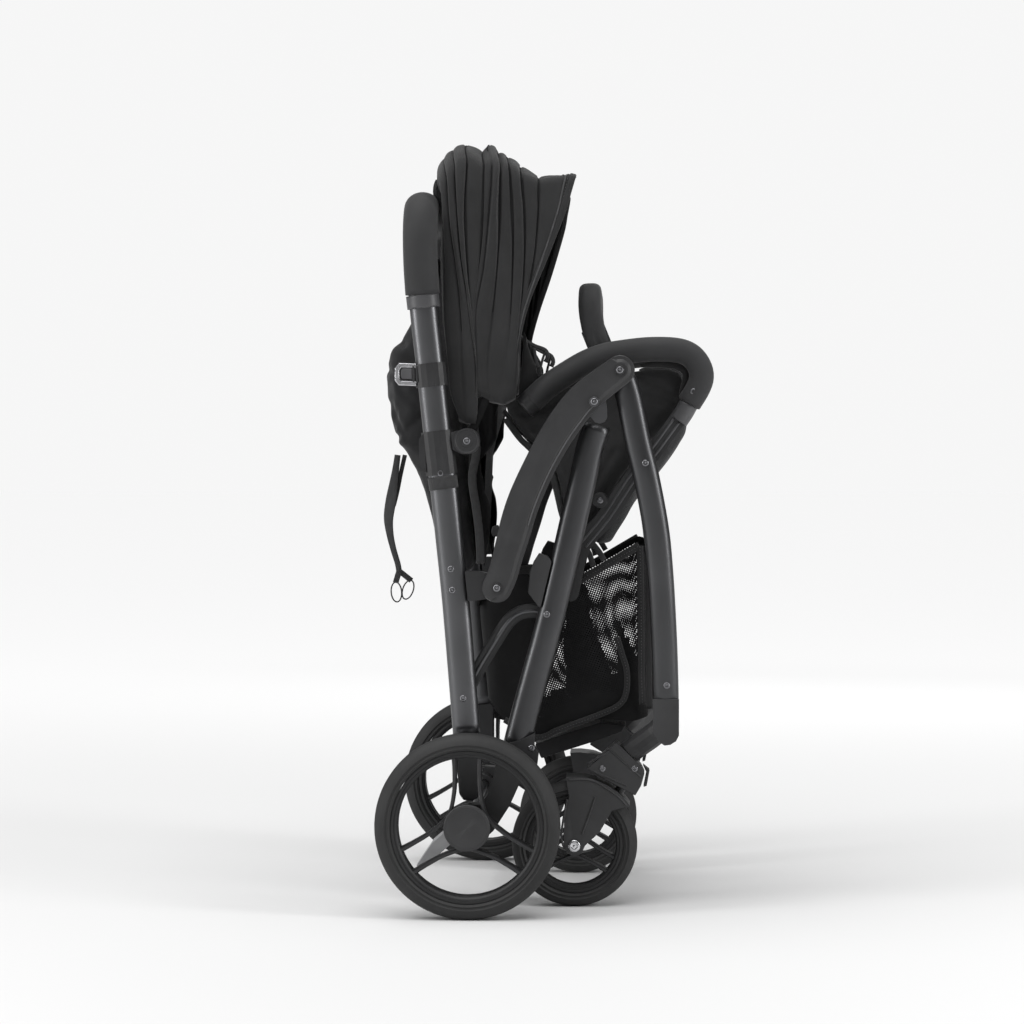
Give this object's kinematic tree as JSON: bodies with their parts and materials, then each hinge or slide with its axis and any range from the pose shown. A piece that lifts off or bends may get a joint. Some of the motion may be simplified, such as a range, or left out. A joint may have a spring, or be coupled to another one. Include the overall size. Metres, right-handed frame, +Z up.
{
  "type": "folded baby stroller",
  "caption": "Compact stroller folded upright: hinged tube frame, U handle, armrest links, seat with safety bar, canopy, basket, swivelling front wheels.",
  "frame": {"origin": "middle of the folded stroller's footprint, on the floor", "axes": "+X towards the front wheels, +Y towards the seated child's left, +Z up"},
  "size_m": [0.464, 0.592, 1.075],
  "materials": {
    "tube": "dark graphite satin metallic",
    "plastic": "fine grained black moulding",
    "foam": "closed-cell foam sleeve, dull black",
    "fabric": "plain woven black polyester",
    "tyre": "dull black foam-filled tread",
    "steel": "plated steel",
    "pedal": "light grey moulding"
  },
  "bodies": {
    "rear_frame": {"rear_leg_tube_right": "tube", "rear_leg_tube_left": "tube", "rear_leg_tongue_right": "plastic", "rear_leg_tongue_left": "plastic", "rear_axle_housing_right": "plastic", "rear_axle_housing_left": "plastic", "latch_bracket_right": "plastic", "latch_bracket_left": "plastic", "rear_axle": "steel", "basket_tray": "fabric"},
    "basket_front": {"basket": "fabric"},
    "side_links": {"armrest_link_right": "plastic", "armrest_link_left": "plastic"},
    "handle": {"handle_tube": "tube", "handle_grip": "foam", "clip_collar_right": "plastic", "clip_collar_left": "plastic", "canopy_bracket_right": "plastic", "canopy_bracket_left": "plastic", "handle_plug_right": "plastic", "handle_plug_left": "plastic", "handle_ear_right": "plastic", "handle_ear_left": "plastic", "canopy_hood": "fabric"},
    "front_legs": {"front_leg_tube_right": "tube", "front_leg_tube_left": "tube", "front_leg_elbow_right": "plastic", "front_leg_elbow_left": "plastic", "caster_housing_right": "plastic", "caster_housing_left": "plastic", "swivel_lock_right": "plastic", "swivel_lock_left": "plastic", "footrest_bar": "tube"},
    "seat_frame": {"seat_rail_right": "plastic", "seat_rail_left": "plastic", "armrest_bar_right": "foam", "armrest_bar_left": "foam", "bumper_bar": "foam", "seat_cover": "fabric"},
    "seat_rear_edge": {"seat_sling": "fabric"},
    "backrest": {"backrest_pad": "fabric", "pull_strap": "fabric"},
    "canopy_front": {"canopy_front_bow": "plastic"},
    "guide_links": {"guide_link_right": "plastic", "guide_link_left": "plastic"},
    "brake": {"brake_pedal": "pedal"},
    "front_fork_right": {"front_fork_right": "plastic", "front_axle_bolt_right": "steel"},
    "front_wheel_right": {"front_tyre_right": "tyre", "front_rim_right": "plastic"},
    "rear_wheel_right": {"rear_tyre_right": "tyre", "rear_rim_right": "plastic", "rear_hub_cap_right": "plastic"},
    "front_fork_left": {"front_fork_left": "plastic", "front_axle_bolt_left": "steel"},
    "front_wheel_left": {"front_tyre_left": "tyre", "front_rim_left": "plastic"},
    "rear_wheel_left": {"rear_tyre_left": "tyre", "rear_rim_left": "plastic", "rear_hub_cap_left": "plastic"}
  },
  "joints": [
    {"name": "fold", "type": "hinge", "parent": "rear_frame", "child": "side_links", "pos_m": [0.067, 0, 0.706], "axis": [0, 1, 0], "range_deg": [0, 44]},
    {"name": "handle_fold", "type": "hinge", "parent": "side_links", "child": "handle", "pos_m": [-0.066, 0, 0.451], "axis": [0, 1, 0], "range_deg": [-80.6, 0]},
    {"name": "front_leg_fold", "type": "hinge", "parent": "side_links", "child": "front_legs", "pos_m": [0.102, 0, 0.749], "axis": [0, 1, 0], "range_deg": [-88.1, 0]},
    {"name": "seat_fold", "type": "hinge", "parent": "front_legs", "child": "seat_frame", "pos_m": [0.137, 0, 0.622], "axis": [0, 1, 0], "range_deg": [0, 77.1]},
    {"name": "guide_fold", "type": "hinge", "parent": "rear_frame", "child": "guide_links", "pos_m": [0.002, 0, 0.414], "axis": [0, 1, 0], "range_deg": [0, 63.3]},
    {"name": "basket_front_follow", "type": "hinge", "parent": "rear_frame", "child": "basket_front", "pos_m": [0.15705, 0, 0.75562], "axis": [0, 1, 0], "range_deg": [-44.1, 0], "deforming": ["basket"]},
    {"name": "seat_rear_follow", "type": "hinge", "parent": "handle", "child": "seat_rear_edge", "pos_m": [-0.07272, 0, 0.2951], "axis": [0, 1, 0], "range_deg": [0, 69.6], "deforming": ["seat_sling"]},
    {"name": "backrest_recline", "type": "hinge", "parent": "handle", "child": "backrest", "pos_m": [-0.125, 0, 0.5], "axis": [0, 1, 0], "range_deg": [-35, 0]},
    {"name": "canopy_swing", "type": "hinge", "parent": "handle", "child": "canopy_front", "pos_m": [-0.108, 0, 0.652], "axis": [0, 1, 0], "range_deg": [0, 75], "deforming": ["canopy_hood"]},
    {"name": "brake_press", "type": "hinge", "parent": "rear_frame", "child": "brake", "pos_m": [-0.105, 0, 0.127], "axis": [0, 1, 0], "range_deg": [0, 25]},
    {"name": "caster_swivel_right", "type": "hinge", "parent": "front_legs", "child": "front_fork_right", "pos_m": [0.05087, -0.154, 0.08058], "axis": [0.5299, 0, 0.848], "continuous": true},
    {"name": "front_wheel_spin_right", "type": "hinge", "parent": "front_fork_right", "child": "front_wheel_right", "pos_m": [0.039, -0.154, 0.088], "axis": [0, 1, 0], "continuous": true},
    {"name": "rear_wheel_spin_right", "type": "hinge", "parent": "rear_frame", "child": "rear_wheel_right", "pos_m": [-0.105, -0.274, 0.127], "axis": [0, 1, 0], "continuous": true},
    {"name": "caster_swivel_left", "type": "hinge", "parent": "front_legs", "child": "front_fork_left", "pos_m": [0.05087, 0.154, 0.08058], "axis": [0.5299, 0, 0.848], "continuous": true},
    {"name": "front_wheel_spin_left", "type": "hinge", "parent": "front_fork_left", "child": "front_wheel_left", "pos_m": [0.039, 0.154, 0.088], "axis": [0, 1, 0], "continuous": true},
    {"name": "rear_wheel_spin_left", "type": "hinge", "parent": "rear_frame", "child": "rear_wheel_left", "pos_m": [-0.105, 0.274, 0.127], "axis": [0, 1, 0], "continuous": true}
  ],
  "couplings": [
    {"joint": "handle_fold", "follows": "fold", "ratio": -1.8295},
    {"joint": "front_leg_fold", "follows": "fold", "ratio": -2},
    {"joint": "seat_fold", "follows": "fold", "ratio": 1.75},
    {"joint": "guide_fold", "follows": "fold", "ratio": 1.436},
    {"joint": "basket_front_follow", "follows": "fold", "ratio": -1},
    {"joint": "seat_rear_follow", "follows": "fold", "ratio": 1.5795}
  ]
}
